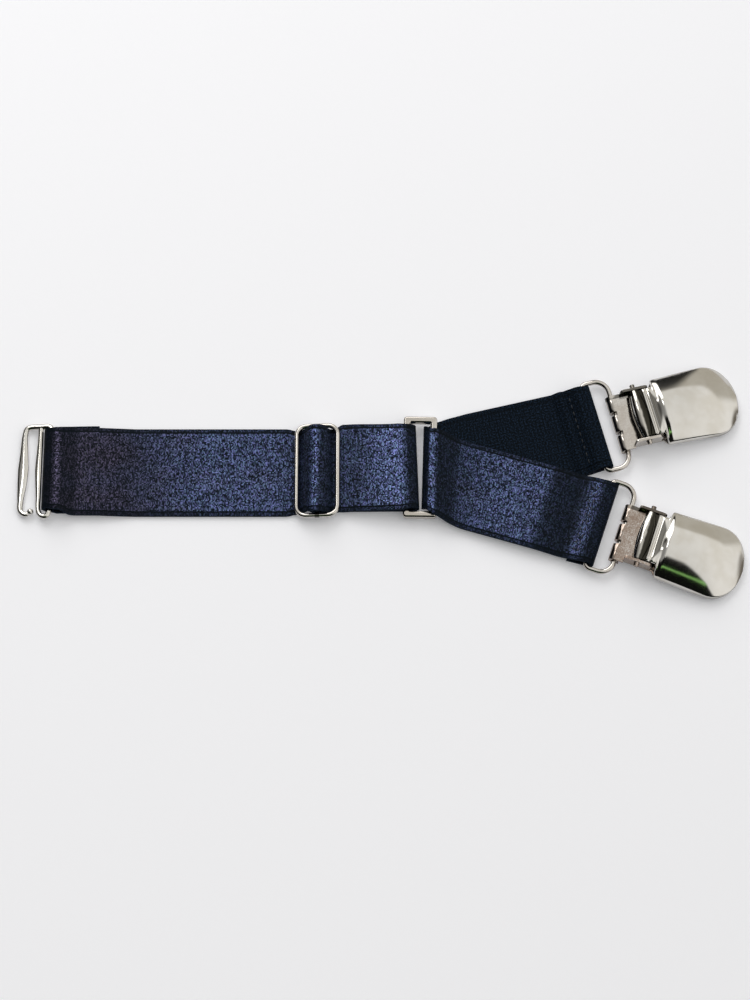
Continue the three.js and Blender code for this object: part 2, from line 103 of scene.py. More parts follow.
# The legs from the side, in mm: distance from the ring, middle's height, bend radius, half width
UPPER_END = 47.8
LOWER_END = 49.3
UPPER_LEG = [
    (39.3, 0.5, 0, 12.4),
    (UPPER_END - 0.5, 0.5, 1.525, 11.95),
    (UPPER_END - 0.5, 3.55, 1.525, 11.95),
    (UPPER_END - 4.1, 3.55, 2, 12.1),
    (40.7, 1.65, 1.5, 12.3),
    (39.4, 1.65, 1, 12.4),
    (37.2, 0.5, 1.5, 12.4),
    (24, 0.5, 1, 12.4),
    (18, 0.5, 1, 12.4),
    (12, 0.5, 1, 12.4),
    (6, 0.5, 1, 12.2),
    (0.6, 0.5, 0, 11.8),
]
LOWER_LEG = [
    (0.6, 4.3, 0, 11.8),
    (2.2, 4.3, 2, 11.9),
    (6.2, 2.45, 4, 12.0),
    (11, 1.75, 8, 12.1),
    (24, 2.2, 1, 12.1),
    (33, 2.45, 14, 12.1),
    (39.8, 1.9, 5, 12.1),
    (43.2, 2.85, 5, 12.1),
    (46.2, 3.55, 3, 12.0),
    (LOWER_END - 0.5, 3.55, 1.525, 11.95),
    (LOWER_END - 0.5, 0.5, 1.525, 11.95),
    (41.9, 0.5, 0, 12.1),
]

# Painted highlights and shade on the bright side along the band, as it faces to or from the light
MAIN_PAINTED_SHEEN = [
    (-91, 0.05), (-88.2, 0.05), (-87.4, 0.85), (-86.8, 0.85), (-86.2, 0.2), (-82.6, 0.22),
    (-81.6, 0.52), (-66, 0.46), (-55, 0.75), (-45, 0.88), (-28, 0.85), (-23, 0.6), (-21.3, 0.3),
    (-18.4, 0.3), (-17.9, 1.15), (-16.5, 1.15), (-15.9, 0.22), (-12.3, 0.2), (-10.5, 0.45),
    (-5, 0.54), (0, 0.93), (5, 1.32), (6.9, 1.32), (7.7, 0.12), (12, 0.05),
]
LEG_PAINTED_SHEEN = [
    (0.55, 1.2), (1.2, 0.1), (6.0, 0.12), (8, 0.45), (12, 0.65), (20, 0.9), (30, 0.9), (32.5, 0.2),
    (39.5, 0.08), (41.4, 0.22), (43.2, 0.65), (44.8, 0.65), (46.2, 0.1), (49.3, 0.05),
]

# The fork in mm and radians: place and turn, angle of each leg and its clip, fold round the ring
FORK = Vector((14.5, 4.85, 0))
FORK_TURN = math.radians(-1.85)
LEG_SPREAD = math.radians(15.1)
CLIP_SPLAY = math.radians(1.6)
FOLD_RADIUS = 1.9
FOLD_SLIP = 0.42
LOWER_DRIFT = 0.83
FOLD_HALF = 11.45
FOLD_LEAN = math.radians(2.0)

# The hook from above, in mm from its bar: x, y, half width, half height
HOOK_TONGUE = [
    (-5.2, -7.4, 0.55, 0.55),
    (-6.5, -8.15, 0.75, 0.75),
    (-7.95, -7.0, 0.85, 0.75),
    (-8.1, -4.0, 0.95, 0.65),
    (-7.85, 0.5, 1.35, 0.5),
    (-7.7, 5.0, 1.5, 0.5),
    (-7.65, 10.0, 1.15, 0.6),
    (-7.6, 14.6, 0.85, 0.75),
    (-7.1, 16.5, 0.8, 0.8),
    (-6.0, 17.0, 0.8, 0.8),
    (-3.0, 17.0, 0.8, 0.8),
    (-0.9, 16.95, 0.8, 0.8),
    (0, 16.0, 0.8, 0.8),
    (0, 13.0, 0.8, 0.8),
    (0, 4.0, 0.8, 0.8),
    (0, -5.0, 0.8, 0.8),
]
HOOK_EYE = [
    (0, -4.5, 0.8, 0.8),
    (0, -7.4, 0.8, 0.8),
    (-0.9, -8.85, 0.8, 0.8),
    (-2.3, -8.5, 0.75, 0.75),
    (-3.05, -6.8, 0.7, 0.7),
    (-3.15, -3.0, 0.75, 0.6),
    (-3.4, 4.5, 1.0, 0.5),
    (-3.2, 11.5, 0.8, 0.6),
    (-3.1, 16.9, 0.72, 0.7),
]
HOOK_TILT = math.radians(8.4)
HOOK_BALL = 0.95

# The seams in mm: thickness of a stitch, gap to the next, lift over the band, margin at its edges
STITCH_THICK = 0.42
STITCH_GAP = 0.35
STITCH_LIFT = 0.44
SEAM_MARGIN = 1.6

# The slider's half sizes, corner radius and middle in mm, and its tilt
SLIDER_HALF = (6.25, 13.55)
SLIDER_CORNER = 3.3
SLIDER_MIDDLE = (-16.6, 4.1, 2.6)
SLIDER_TILT = math.radians(5.9)

# A loop in mm: length between its bars, half width, corner radii at the clip and at the leg
LOOP_REACH = 7.1
LOOP_HALF = 13.7
LOOP_CORNERS = (2.2, 4.4)

# The lever in mm, at distances from the loop's bar: the height of its crown, the height of its long
# edges and its half width, then the place of its tip and the power of the curve that rounds it
LEVER_CROWN = [
    (7.35, 5.55), (7.5, 5.95), (7.85, 6.02), (8.1, 5.6), (8.45, 5.55), (8.7, 6.05), (9.2, 6.2),
    (9.7, 6.0), (12.2, 7.15), (15, 7.15),
]
LEVER_EDGE = [(9.9, 5.35), (10.3, 5.0), (11.1, 2.35)]
LEVER_SIDE = [(10.2, 6.8), (11.1, 9.7), (25.2, 10.3)]
LEVER_TIP = 33.4
LEVER_ROUND = 2.15

# The cover's crown: where it starts to fall, its height there and its fall to the tip in mm, then
# the power of that fall, and the slope of the cover's section at its long edges
LEVER_FLAT = 15.0
LEVER_TOP = 7.15
LEVER_FALL = 4.05
LEVER_CURVE = 2.87
LEVER_SLOPE = math.radians(38)

# The barrel on the pin in mm: place, half length, radius, taper, bore, and its web up to the neck
PIN_ALONG = 5.5
PIN_HIGH = 4.25
ROLL_HALF = 6.8
ROLL_RADIUS = 2.25
ROLL_TAPER = 0.9
PIN_BORE = 1.0
WEB = [(6.2, 3.55), (7.6, 3.75), (8.5, 4.9), (8.5, 5.4), (7.2, 5.35), (6.2, 5.25)]
CLIP_PITCH = math.radians(5.25)

# The light around: the sky's left, middle and right, its walls and green line, then the lamps
SKY_LEFT = (0.30, 0.297, 0.29, 1)
SKY_MIDDLE = (0.95, 0.94, 0.91, 1)
SKY_RIGHT = (1.12, 1.10, 1.06, 1)
SKY_WALL = (0.20, 0.175, 0.145, 1)
SKY_DARK = (0.006, 0.0065, 0.006, 1)
SKY_LOW = (0.64, 0.61, 0.54, 1)
SKY_GREEN = (0.32, 0.66, 0.20, 1)
LAMP_COLOUR = (1.0, 0.995, 0.985)

# The camera's aim in mm, and the sides that the two lights shine from
AIM = Vector((-0.815, -3.535, 0))
KEY_SIDE = Vector((-0.25, 0.80, 0.55))
LAMP_SIDE = Vector((-0.40, 0.38, 0.83))


def ease(t):
    """Smooth step from 0 to 1."""
    t = min(max(t, 0.0), 1.0)
    return t * t * (3 - 2 * t)


def row_at(rows, x, shape=lambda t: t):
    """The second column of rows at x in the first, in straight lines from row to row or eased."""
    for (x0, y0), (x1, y1) in zip(rows, rows[1:]):
        if x <= x1:
            return y0 + (y1 - y0) * shape(min(max((x - x0) / (x1 - x0), 0.0), 1.0))
    return rows[-1][1]


def rounded_path(rows, arc_step=0.16, straight_step=1.2):
    """Points of a route with rounded corners, each with its bend row's widths."""
    points = [Vector(row[:2]) for row in rows]
    corners = [(points[0], rows[0][3:])]
    for i in range(1, len(rows) - 1):
        back = (points[i - 1] - points[i]).normalized()
        ahead = (points[i + 1] - points[i]).normalized()
        turn = math.pi - back.angle(ahead)
        if turn < 1e-3:
            corners.append((points[i], rows[i][3:]))
            continue
        radius = rows[i][2]
        start = points[i] + back * radius * math.tan(turn / 2)
        centre = points[i] + (back + ahead).normalized() * radius / math.cos(turn / 2)
        side = math.copysign(1, ahead.x * back.y - ahead.y * back.x)
        steps = max(2, math.ceil(turn / arc_step))
        for k in range(steps + 1):
            swung = start - centre
            swung.rotate(Matrix.Rotation(side * turn * k / steps, 2))
            corners.append((centre + swung, rows[i][3:]))
    corners.append((points[-1], rows[-1][3:]))
    path = [corners[0]]
    for (p0, w0), (p1, w1) in zip(corners, corners[1:]):
        steps = max(1, math.ceil((p1 - p0).length / straight_step))
        for k in range(1, steps + 1):
            t = k / steps
            widths = tuple(a + (b - a) * ease(t) for a, b in zip(w0, w1))
            path.append((p0.lerp(p1, t), widths))
    return path


def main_stations():
    """Centre, direction across, half width and painted light at each stop of the main strap's
    route.
    """
    stations = []
    for point, (half, y) in rounded_path(MAIN_ROUTE):
        lean = FOLD_LEAN * ease(point.x / 8)
        centre = Vector((point.x, y, point.y))
        across = Vector((-math.sin(lean), math.cos(lean), 0))
        stations.append((centre, across, half, row_at(MAIN_PAINTED_SHEEN, point.x)))
    return stations


def leg_stations(side, rows):
    """The same for one leg, in the frame of the fork."""
    wrap = math.pi / 2 * FOLD_RADIUS * math.tan(LEG_SPREAD)
    start = Vector((0, side * (wrap + FOLD_SLIP)))
    along = Vector((math.cos(LEG_SPREAD), side * math.sin(LEG_SPREAD)))
    stations = []
    for point, (half,) in rounded_path(rows):
        lean = LEG_SPREAD * (1 - ease(point.x / 24)) - CLIP_SPLAY * ease((point.x - 33) / 6)
        level = math.pi / 2 + side * (LEG_SPREAD - lean)
        spot = start + along * point.x
        if side < 0:
            spot.y -= LOWER_DRIFT * ease(point.x / 9)
        across = Vector((math.cos(level), math.sin(level), 0))
        # The lower leg's bright side gets painted highlights and shade; the upper leg's bright side
        # lies underneath
        sheen = row_at(LEG_PAINTED_SHEEN, point.x) if side < 0 else 1.0
        stations.append((Vector((spot.x, spot.y, point.y)), across, half / math.cos(lean), sheen))
    return stations


def fold_stations():
    """The fold round the ring's bar, where the band slips sideways as it turns over."""
    steps = 24
    middle = FOLD_RADIUS + 0.5
    stations = []
    for i in range(steps + 1):
        angle = math.pi * i / steps
        run = FOLD_RADIUS * (angle - math.pi / 2)
        slip = math.copysign(FOLD_SLIP * ease((abs(run) - 1.1) / 1.9), run)
        centre = Vector((
            -FOLD_RADIUS * math.sin(angle),
            -run * math.tan(LEG_SPREAD) - slip,
            middle - FOLD_RADIUS * math.cos(angle),
        ))
        # Painted shade over the fold, turning to a painted highlight near its top where the lower
        # leg leaves it
        sheen = 0.05 + 1.15 * ease((angle - 2.7) / 0.35)
        stations.append((centre, Vector((0, 1, 0)), FOLD_HALF / math.cos(LEG_SPREAD), sheen))
    return stations


def fork_stations():
    """The whole of the leg strap in the frame of the main strap."""
    turned = Matrix.Translation(FORK) @ Matrix.Rotation(FORK_TURN, 4, "Z")
    stations = leg_stations(1, UPPER_LEG) + fold_stations() + leg_stations(-1, LOWER_LEG)
    level = turned.to_3x3()
    return [(turned @ centre, level @ across, *rest) for centre, across, *rest in stations]


def clip_frame(side, pitched=True):
    """Matrix of a clip: x along it from the loop's bar, y across it, z square to its plate."""
    joint = JOINTS[f"{side}_clip_swing"]
    across = -Vector(joint["axis"]).normalized()
    along = across.cross(UP)
    pitch = CLIP_PITCH if pitched else 0.0
    x = along * math.cos(pitch) - UP * math.sin(pitch)
    z = UP * math.cos(pitch) + along * math.sin(pitch)
    turned = Matrix((x, across, z)).transposed().to_4x4()
    return Matrix.Translation(Vector(joint["pos_m"])) @ turned


def clear_selection():
    """Object mode with nothing selected."""
    if bpy.context.mode != "OBJECT":
        bpy.ops.object.mode_set(mode="OBJECT")
    bpy.ops.object.select_all(action="DESELECT")


def select_only(piece):
    """Selects one piece and makes it active."""
    clear_selection()
    piece.select_set(True)
    bpy.context.view_layer.objects.active = piece


def apply_modifiers(piece):
    """Applies every modifier of a piece in order."""
    select_only(piece)
    for modifier in list(piece.modifiers):
        bpy.ops.object.modifier_apply(modifier=modifier.name)


def round_edges(piece, width, segments, degrees):
    """Bevels the edges sharper than an angle, as far as overlaps allow, and applies modifiers."""
    bevel = piece.modifiers.new("edges", "BEVEL")
    bevel.width = width
    bevel.segments = segments
    bevel.limit_method = "ANGLE"
    bevel.angle_limit = math.radians(degrees)
    apply_modifiers(piece)


def combine(piece, other, operation="UNION"):
    """Joins another closed piece to this one, or cuts it out, and removes the other."""
    boolean = piece.modifiers.new("combine", "BOOLEAN")
    boolean.operation = operation
    boolean.solver = "EXACT"
    boolean.object = other
    apply_modifiers(piece)
    bpy.data.objects.remove(other)


def joined(pieces):
    """The first of some pieces, with the others joined to it."""
    clear_selection()
    for piece in pieces:
        piece.select_set(True)
    bpy.context.view_layer.objects.active = pieces[0]
    bpy.ops.object.join()
    return pieces[0]


def smooth_by_angle(piece, degrees):
    """Smooth shading except over edges sharper than an angle."""
    select_only(piece)
    bpy.ops.object.shade_smooth_by_angle(angle=math.radians(degrees))


def outward(piece):
    """Merges doubles and turns all faces outwards."""
    select_only(piece)
    bpy.ops.object.mode_set(mode="EDIT")
    bpy.ops.mesh.select_all(action="SELECT")
    bpy.ops.mesh.remove_doubles(threshold=1e-6)
    bpy.ops.mesh.normals_make_consistent(inside=False)
    bpy.ops.object.mode_set(mode="OBJECT")


def place(piece, matrix):
    """Moves a piece's mesh and leaves its object at the origin."""
    piece.data.transform(matrix @ piece.matrix_world)
    piece.matrix_world = Matrix.Identity(4)
    piece.data.update()


def mesh_piece(name, vertices, faces):
    """A new object from points in metres and faces."""
    mesh = bpy.data.meshes.new(name)
    mesh.from_pydata([tuple(v) for v in vertices], [], faces)
    piece = bpy.data.objects.new(name, mesh)
    bpy.context.scene.collection.objects.link(piece)
    return piece


def grid_faces(rows, columns):
    """The faces between points that stand in rows, each with one point more than its columns."""
    corners = [i * (columns + 1) + j for i in range(rows - 1) for j in range(columns)]
    return [(a, a + columns + 1, a + columns + 2, a + 1) for a in corners]


def round_bar(radius, length, sides):
    """A cylinder along y, with its middle at the origin."""
    clear_selection()
    bpy.ops.mesh.primitive_cylinder_add(
        vertices=sides, radius=radius, depth=length, rotation=(math.pi / 2, 0, 0)
    )
    bpy.ops.object.transform_apply(location=True, rotation=True, scale=True)
    return bpy.context.object


def map_places(piece, level=Matrix.Identity(4)):
    """A UV map that holds each point's place along and across the clip or the slider, in mm."""
    while piece.data.uv_layers:
        piece.data.uv_layers.remove(piece.data.uv_layers[0])
    layer = piece.data.uv_layers.new(name="clip")
    for loop in piece.data.loops:
        spot = level @ piece.data.vertices[loop.vertex_index].co / MM
        layer.data[loop.index].uv = (spot.x, spot.y)


def copy_of(piece, name):
    """A copy of a piece with its own mesh."""
    twin = piece.copy()
    twin.data = piece.data.copy()
    twin.name = name
    bpy.context.scene.collection.objects.link(twin)
    return twin


def clean_copy(node, name):
    """A merged copy of a frame node's mesh, with its flat faces made whole."""
    twin = frame["nodes"][node].copy()
    twin.data = twin.data.copy()
    twin.name = name
    twin.parent = None
    twin.matrix_world = Matrix.Identity(4)
    for key in [key for key in twin.keys() if key.startswith("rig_")]:
        del twin[key]
    twin.data.materials.clear()
    bpy.context.scene.collection.objects.link(twin)
    select_only(twin)
    if twin.data.has_custom_normals:
        bpy.ops.mesh.customdata_custom_splitnormals_clear()
    bpy.ops.object.mode_set(mode="EDIT")
    bpy.ops.mesh.select_all(action="SELECT")
    bpy.ops.mesh.remove_doubles(threshold=2e-6)
    bpy.ops.mesh.dissolve_limited(angle_limit=math.radians(0.5))
    bpy.ops.object.mode_set(mode="OBJECT")
    return twin


def finish_piece(piece, body, nodes, finishes):
    """Gives a piece its finishes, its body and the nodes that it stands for."""
    for finish in finishes:
        piece.data.materials.append(finish)
    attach(piece, body)
    if nodes:
        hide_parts(*nodes)


class Level:
    """A shader socket that takes part in Python expressions, each of which adds its node."""

    def __init__(self, finish, socket):
        self.finish = finish
        self.socket = socket

    def math(self, operation, *others):
        """Result of a Math node on this value and others."""
        return self.finish.math(operation, self, *others)

    def __add__(self, other):
        return self.math("ADD", other)

    def __mul__(self, other):
        return self.math("MULTIPLY", other)

    def __sub__(self, other):
        return self.math("SUBTRACT", other)

    def __rsub__(self, other):
        return self.finish.math("SUBTRACT", other, self)

    def __truediv__(self, other):
        return self.math("DIVIDE", other)

    def __rtruediv__(self, other):
        return self.finish.math("DIVIDE", other, self)

    def __pow__(self, other):
        return self.math("POWER", other)

    def __rpow__(self, other):
        return self.finish.math("POWER", other, self)

    __radd__ = __add__
    __rmul__ = __mul__

    def clamped(self):
        """This value held between 0 and 1."""
        settings = {"operation": "ADD", "use_clamp": True}
        return self.finish.add("ShaderNodeMath", settings, self, 0.0)

    def between(self, low, high):
        """0 below low and 1 above high, smooth in between."""
        settings = {"interpolation_type": "SMOOTHSTEP"}
        return self.finish.add("ShaderNodeMapRange", settings, self, low, high, 0.0, 1.0)

    def near(self, middle, far, close):
        """1 closer than close to a middle and 0 further than far from it."""
        return (self - middle).math("ABSOLUTE").between(far, close)

    def waves(self):
        """From 0 to 1 and back, once for every full turn of this value."""
        return self.math("SINE") * 0.5 + 0.5


class Finish:
    """The nodes of one material or of the surroundings."""

    def __init__(self, name, owner=None):
        self.material = owner or bpy.data.materials.new(name)
        self.material.use_nodes = True
        self.tree = self.material.node_tree
        self.tree.nodes.clear()

    def feed(self, socket, value):
        """Links a value to a socket, or sets the socket to it."""
        if isinstance(value, Level):
            self.tree.links.new(value.socket, socket)
        else:
            socket.default_value = value

    def add(self, kind, settings, *values, out=0, **named):
        """A node with its settings, then its sockets' values or links in order or by name."""
        node = self.tree.nodes.new(kind)
        for key, value in settings.items():
            setattr(node, key, value)
        for socket, value in zip(node.inputs, values):
            self.feed(socket, value)
        for key, value in named.items():
            self.feed(node.inputs[key.replace("_", " ")], value)
        return Level(self, node.outputs[out]) if node.outputs else None

    def math(self, operation, *values):
        """Result of a Math node on some values."""
        return self.add("ShaderNodeMath", {"operation": operation}, *values)

    def split(self, vector):
        """The x, y and z of a vector."""
        parts = self.add("ShaderNodeSeparateXYZ", {}, vector).socket.node
        return [Level(self, socket) for socket in parts.outputs]

    def vector(self, x, y, z):
        """A vector from three values."""
        return self.add("ShaderNodeCombineXYZ", {}, x, y, z)

    def spot(self):
        """Place on the object, in metres."""
        return self.add("ShaderNodeTexCoord", {}, out=3)

    def mapped(self, name):
        """The two values of a UV map."""
        return self.split(self.add("ShaderNodeUVMap", {"uv_map": name}))[:2]

    def noise(self, where, scale, detail=2.0):
        """Soft noise from 0 to 1 at a place."""
        return self.add("ShaderNodeTexNoise", {}, Vector=where, Scale=scale, Detail=detail)

    def cell(self, *where):
        """A value from 0 to 1 that differs from each whole place to the next."""
        return self.add("ShaderNodeTexWhiteNoise", {}, self.vector(*where))

    def mix(self, amount, low, high):
        """A colour between two."""
        mixed = self.add("ShaderNodeMix", {"data_type": "RGBA"}, amount, out=2)
        for index, value in ((6, low), (7, high)):
            self.feed(mixed.socket.node.inputs[index], value)
        return mixed

    def bump(self, height, distance, strength=1.0):
        """A normal raised by a height in metres."""
        return self.add("ShaderNodeBump", {}, Strength=strength, Distance=distance, Height=height)

    def surface(self, **sockets):
        """The shader at the end, with its sockets by name."""
        shader = self.add("ShaderNodeBsdfPrincipled", {}, **sockets)
        self.add("ShaderNodeOutputMaterial", {}, shader)
        return self.material


def satin_elastic(colours):
    """The bright side: rows of glinting floats over faint cords, a groove beside each edge, and
    painted light along the band.
    """
    finish = Finish("navy_satin")
    across, along = finish.mapped("band")
    # Painted highlights and painted shade along the band, read from its UV map
    sheen = finish.mapped("sheen")[0]
    wander = finish.noise(finish.vector(across / 7, along / 10, 0.0), 1.0)
    row = (across / 0.35).math("FLOOR")
    pick = (along / 0.27 + row * 0.37).math("FLOOR")
    floats = finish.cell(row, pick, 0.0)
    tints = finish.cell(pick, row, 5.0)
    cords = (along * CORD_TURNS + wander * 5.0).waves()
    edge = across.math("MINIMUM", BAND_WIDTH - across)
    inside = edge.between(0.95, 1.3)
    groove = edge.near(1.1, 0.32, 0.12)
    # Painted shade: towards the hook end the floats are painted darker and more violet, where the
    # light falls off
    clear_of_hook_shade = along.between(24.0, 66.0)
    glint = floats ** 2.1 * (cords * 0.3 + 0.85)
    glint = glint * (inside * 0.65 + 0.35) * (1.0 - groove) * (sheen * 0.98 + 0.02)
    gleam = finish.mix(tints, colours.glint, colours.glint_cool)
    gleam = finish.mix((clear_of_hook_shade + wander - 0.5).clamped(), colours.glint_hook_shade, gleam)
    tone = finish.mix(wander.between(0.35, 0.7), colours.navy, colours.navy_cool)
    shine = (glint * 0.88).clamped()
    return finish.surface(
        Base_Color=finish.mix(shine, tone, gleam),
        Roughness=0.44 - shine * 0.05,
        Metallic=shine,
        Normal=finish.bump(wander * 0.6 + cords * 0.3, 0.00003),
        Specular_IOR_Level=0.03,
    )


def matte_elastic(colours):
    """The dull side: small even stitches in rows along and across the band."""
    finish = Finish("navy_matte")
    across, along = finish.mapped("band")
    rows = (across * ROW_TURNS).waves()
    picks = (along * CORD_TURNS).waves()
    fuzz = finish.noise(finish.vector(across / 0.4, along / 0.4, 3.0), 1.0, 2.0)
    wide = finish.noise(finish.vector(across / 7, along / 7, 1.0), 1.0)
    edge = across.math("MINIMUM", BAND_WIDTH - across)
    groove = edge.near(1.45, 0.35, 0.1)
    lit = (rows * picks * 0.1 + fuzz * 0.9).between(0.38, 0.68)
    colour = finish.mix(lit * (0.6 + wide * 0.4), colours.shadow, colours.dull)
    colour = finish.mix(groove * 0.6, colour, colours.shadow)
    height = rows * picks * 0.3 + fuzz * 0.5 - groove * 0.8
    return finish.surface(
        Base_Color=colour,
        Roughness=0.72 + fuzz * 0.15,
        Normal=finish.bump(height, 0.00008),
        Specular_IOR_Level=0.04,
    )


def band_edge(colours):
    """The cut and woven edges, seen end on."""
    finish = Finish("navy_edge")
    threads = finish.noise(finish.spot(), 3500.0, 1.0)
    colour = finish.mix(threads, colours.shadow, colours.dull)
    return finish.surface(
        Base_Color=colour,
        Roughness=0.8,
        Normal=finish.bump(threads, 0.00006),
        Specular_IOR_Level=0.04,
    )


def sewing_thread(colours, name, pale):
    """Twisted thread in the tone of the side that it shows on."""
    finish = Finish(name)
    twist = finish.noise(finish.spot(), 4200.0, 1.0)
    colour = finish.mix(twist.between(0.3, 0.7), colours.navy, pale)
    return finish.surface(
        Base_Color=colour,
        Roughness=0.6,
        Normal=finish.bump(twist, 0.00003),
    )


def painted_shade_mask(finish, part):
    """Where painted shade and painted dark reflections go: a cover's valley and rim, a base's far
    ears, or the gap at the slider's wire joint.
    """
    along, across = finish.mapped("clip")
    # The far ears' inner faces are painted dark, a painted reflection of the dark parts below them
    if part == "ears":
        return across.between(6.9, 7.1)
    # A painted shadow across the bottom wire, where the gap between the wire's ends is shaded
    if part == "joint":
        return along.near(0.15, 0.7, 0.55) * across.between(-12.1, -12.3)
    # Painted dark reflections in the valley between the neck and the dome, and round the rim of the
    # tip
    moon = 10.9 - across * across * 0.055
    valley = along.between(8.75, 9.0) * (moon - along).between(-0.25, 0.35)
    start, half = LEVER_SIDE[-1]
    tip = ((along - start) / (LEVER_TIP - start)).clamped() ** LEVER_ROUND
    side = (across / half).math("ABSOLUTE") ** LEVER_ROUND
    rim = (tip + side).between(0.93, 0.985) * along.between(18.0, 26.0)
    return valley.math("MAXIMUM", rim * 0.45)


def nickel_plate(metal, name, worn=0.5, brown=0.0, shaded_part=""):
    """Bright nickel with drawn lines, faint clouds and small pits, browned in parts, and with
    painted shade in parts.
    """
    finish = Finish(name)
    where = finish.spot()
    x, y, z = finish.split(where)
    clouds = finish.noise(where, 160.0, 3.0)
    lines = finish.noise(finish.vector(x * 300, y * 5200, z * 5200), 1.0, 2.0)
    pits = finish.noise(where, 1500.0, 2.0).between(0.66, 0.8)
    warm = finish.mix(clouds.between(0.35, 0.7), metal.pale, metal.warm)
    colour = finish.mix(pits * 0.25 * worn, warm, metal.worn)
    if brown:
        specks = finish.noise(where, 2600.0, 2.0)
        patches = (specks * 0.7 + clouds * 0.5).between(0.2, 0.75)
        colour = finish.mix(patches * brown, colour, metal.brown)
    # Painted shade and painted dark reflections where the part's mask says, in the colour of
    # painted shade
    if shaded_part:
        colour = finish.mix(painted_shade_mask(finish, shaded_part) * 0.78, colour, metal.shade_paint)
    rough = metal.roughness + clouds * 0.05 + pits * 0.1 * worn + lines * 0.03
    return finish.surface(
        Base_Color=colour,
        Metallic=1.0,
        Roughness=rough,
        Normal=finish.bump(lines * 0.3 + clouds * 0.7, 0.00001, 0.5),
    )


def dark_barrel(metal):
    """The barrel: bright on its outer half, with painted shade towards the neck and a painted
    highlight line near its outer edge.
    """
    finish = Finish("nickel_barrel")
    along, across = finish.mapped("clip")
    blotch = finish.noise(finish.vector(along * 1.2, across * 0.6, 0.0), 1.0, 3.0)
    # Painted shade on the half towards the neck, where the neck's lip shades it
    shade_paint = (along + blotch * 0.6).between(5.35, 5.95)
    # A painted highlight line near the barrel's outer edge
    edge = along.near(3.6, 0.25, 0.05)
    colour = finish.mix(shade_paint, metal.warm, metal.shade_paint)
    return finish.surface(
        Base_Color=finish.mix(edge, colour, metal.pale),
        Metallic=1.0,
        Roughness=metal.roughness + 0.06 + shade_paint * 0.12,
        Normal=finish.bump(blotch, 0.00001, 0.5),
    )


def surface_paper(stage):
    """The pale surface that it lies on."""
    finish = Finish("pale_surface")
    grain = finish.noise(finish.spot(), 900.0, 3.0)
    colour = finish.mix(grain, stage.surface, [c * 0.985 for c in stage.surface[:3]] + [1.0])
    return finish.surface(
        Base_Color=colour,
        Roughness=0.85,
        Specular_IOR_Level=0.2,
        Emission_Color=stage.surface,
        Emission_Strength=stage.glow,
    )


def colour_property(name, description, *rgb):
    """A colour that the user can change."""
    return FloatVectorProperty(
        name=name, description=description, subtype="COLOR", size=4, default=(*rgb, 1.0)
    )


def length_property(name, description, size):
    """A length that the user can change, with its default in mm."""
    return FloatProperty(name=name, description=description, default=size * MM, unit="LENGTH")


class StrapSettings(bpy.types.PropertyGroup):
    """Sizes and colours of the woven band."""

    thickness: length_property("Thickness", "Thickness of the band", 1.0)
    stitch: length_property("Stitch", "Length of a sewn stitch", 1.7)
    navy: colour_property("Navy", "Ground colour of the bright side", 0.0030, 0.0050, 0.0068)
    navy_cool: colour_property(
        "Cool navy", "Second ground colour of the bright side", 0.0036, 0.0066, 0.0105
    )
    glint: colour_property("Glint", "Colour of the shining floats", 0.210, 0.226, 0.600)
    glint_cool: colour_property(
        "Cool glint", "Second colour of the shining floats", 0.165, 0.268, 0.430
    )
    # Painted shade: darker, more violet colour of the floats near the hook, where the light falls
    # off
    glint_hook_shade: colour_property(
        "Violet glint", "Colour of the floats near the hook", 0.188, 0.166, 0.290
    )
    dull: colour_property("Dull side", "Colour of the dull side", 0.0150, 0.0290, 0.056)
    shadow: colour_property("Shadow", "Colour between the threads", 0.0022, 0.0034, 0.0045)
    thread_dull: colour_property(
        "Dull thread", "Colour of the thread on the dull side", 0.0075, 0.0138, 0.025
    )
    thread: colour_property("Thread", "Colour of the sewing thread", 0.050, 0.056, 0.105)


class MetalSettings(bpy.types.PropertyGroup):
    """Sizes and colours of the nickel fittings."""

    loop_wire: length_property("Loop wire", "Diameter of the loops' wire", 1.45)
    slider_wire: length_property("Slider wire", "Diameter of the slider's wire", 1.35)
    sheet: length_property("Sheet", "Thickness of the pressed sheet", 0.6)
    side_count: IntProperty(name="Sides", description="Sides of a round wire", default=24, min=8)
    roughness: FloatProperty(
        name="Roughness", description="Roughness of the polished nickel", default=0.07, min=0, max=1
    )
    pale: colour_property("Pale nickel", "Clean nickel", 0.63, 0.615, 0.585)
    warm: colour_property("Warm nickel", "Nickel with a warm cast", 0.565, 0.542, 0.496)
    worn: colour_property("Worn nickel", "Dulled nickel", 0.42, 0.39, 0.35)
    brown: colour_property("Browned nickel", "Nickel browned with age", 0.26, 0.19, 0.15)
    # Colour of painted shade and painted dark reflections on barrels, cover valleys and rims, far
    # ears and the slider's joint
    shade_paint: colour_property("Tarnish", "Dark tarnish of barrels and rims", 0.035, 0.033, 0.026)


class StageSettings(bpy.types.PropertyGroup):
    """Camera, surface and light."""

    elevation: FloatProperty(
        name="Elevation", description="Angle of the camera above the surface",
        default=math.radians(71), subtype="ANGLE",
    )
    distance: length_property("Distance", "Distance from the camera to its aim", 700)
    lens: FloatProperty(name="Lens", description="Focal length in mm", default=92.74)
    surface: colour_property("Surface", "Colour of the surface", 0.885, 0.889, 0.925)
    glow: FloatProperty(
        name="Glow", description="Light that the backlit surface gives by itself", default=0.19
    )
    key_power: FloatProperty(name="Key light", description="Power of the key light", default=5.4)
    lamp_power: FloatProperty(name="Lamp", description="Power of the small lamp", default=0.45)
    sky: FloatProperty(name="Sky", description="Strength of the surrounding light", default=1.0)


